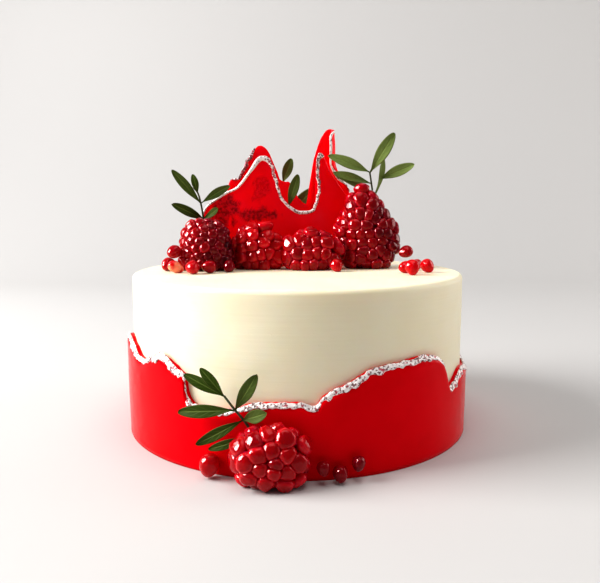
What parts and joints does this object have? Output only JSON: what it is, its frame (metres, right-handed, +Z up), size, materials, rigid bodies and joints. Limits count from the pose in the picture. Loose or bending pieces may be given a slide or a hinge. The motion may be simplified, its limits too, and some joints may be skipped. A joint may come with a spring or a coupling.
{
  "type": "decorated celebration cake",
  "caption": "Tall round cake in white cream with a torn-edged red glaze skin round its foot, thin red glaze sails, chunks of pomegranate seeds and leaf sprigs.",
  "frame": {"origin": "middle of the round cake's flat foot, on the surface the cake stands on", "axes": "+Z up along the cake's own axis, front towards -Y, +X to the right as seen from the front"},
  "size_m": [0.1872, 0.2027, 0.1648],
  "materials": {
    "white_cream": "smooth, softly shining white cream",
    "red_glaze": "glossy red sugar glaze, slightly see-through where it is thin, with a silver crust along its torn edges",
    "pomegranate_seed": "wet, glossy deep red seeds",
    "leaf": "dark olive green leaves with a lighter midrib, slightly shiny"
  },
  "bodies": {
    "root": {"cake": "white_cream", "red_band": "red_glaze", "front_sail": "red_glaze", "back_sail": "red_glaze", "chunk_left": "pomegranate_seed", "chunk_middle_left": "pomegranate_seed", "chunk_middle_right": "pomegranate_seed", "chunk_right": "pomegranate_seed", "chunk_rear": "pomegranate_seed", "chunk_foot": "pomegranate_seed", "seed_left_1": "pomegranate_seed", "seed_left_2": "pomegranate_seed", "seed_left_3": "pomegranate_seed", "seed_left_4": "pomegranate_seed", "seed_left_5": "pomegranate_seed", "seed_left_6": "pomegranate_seed", "seed_middle": "pomegranate_seed", "seed_right_1": "pomegranate_seed", "seed_right_2": "pomegranate_seed", "seed_right_3": "pomegranate_seed", "seed_right_4": "pomegranate_seed", "seed_right_5": "pomegranate_seed", "seed_rear_1": "pomegranate_seed", "seed_rear_2": "pomegranate_seed", "seed_rear_3": "pomegranate_seed", "seed_foot_left": "pomegranate_seed", "seed_foot_1": "pomegranate_seed", "seed_foot_2": "pomegranate_seed", "seed_foot_3": "pomegranate_seed", "sprig_left": "leaf", "sprig_right": "leaf", "sprig_back": "leaf", "sprig_between": "leaf", "sprig_foot": "leaf"}
  },
  "joints": []
}
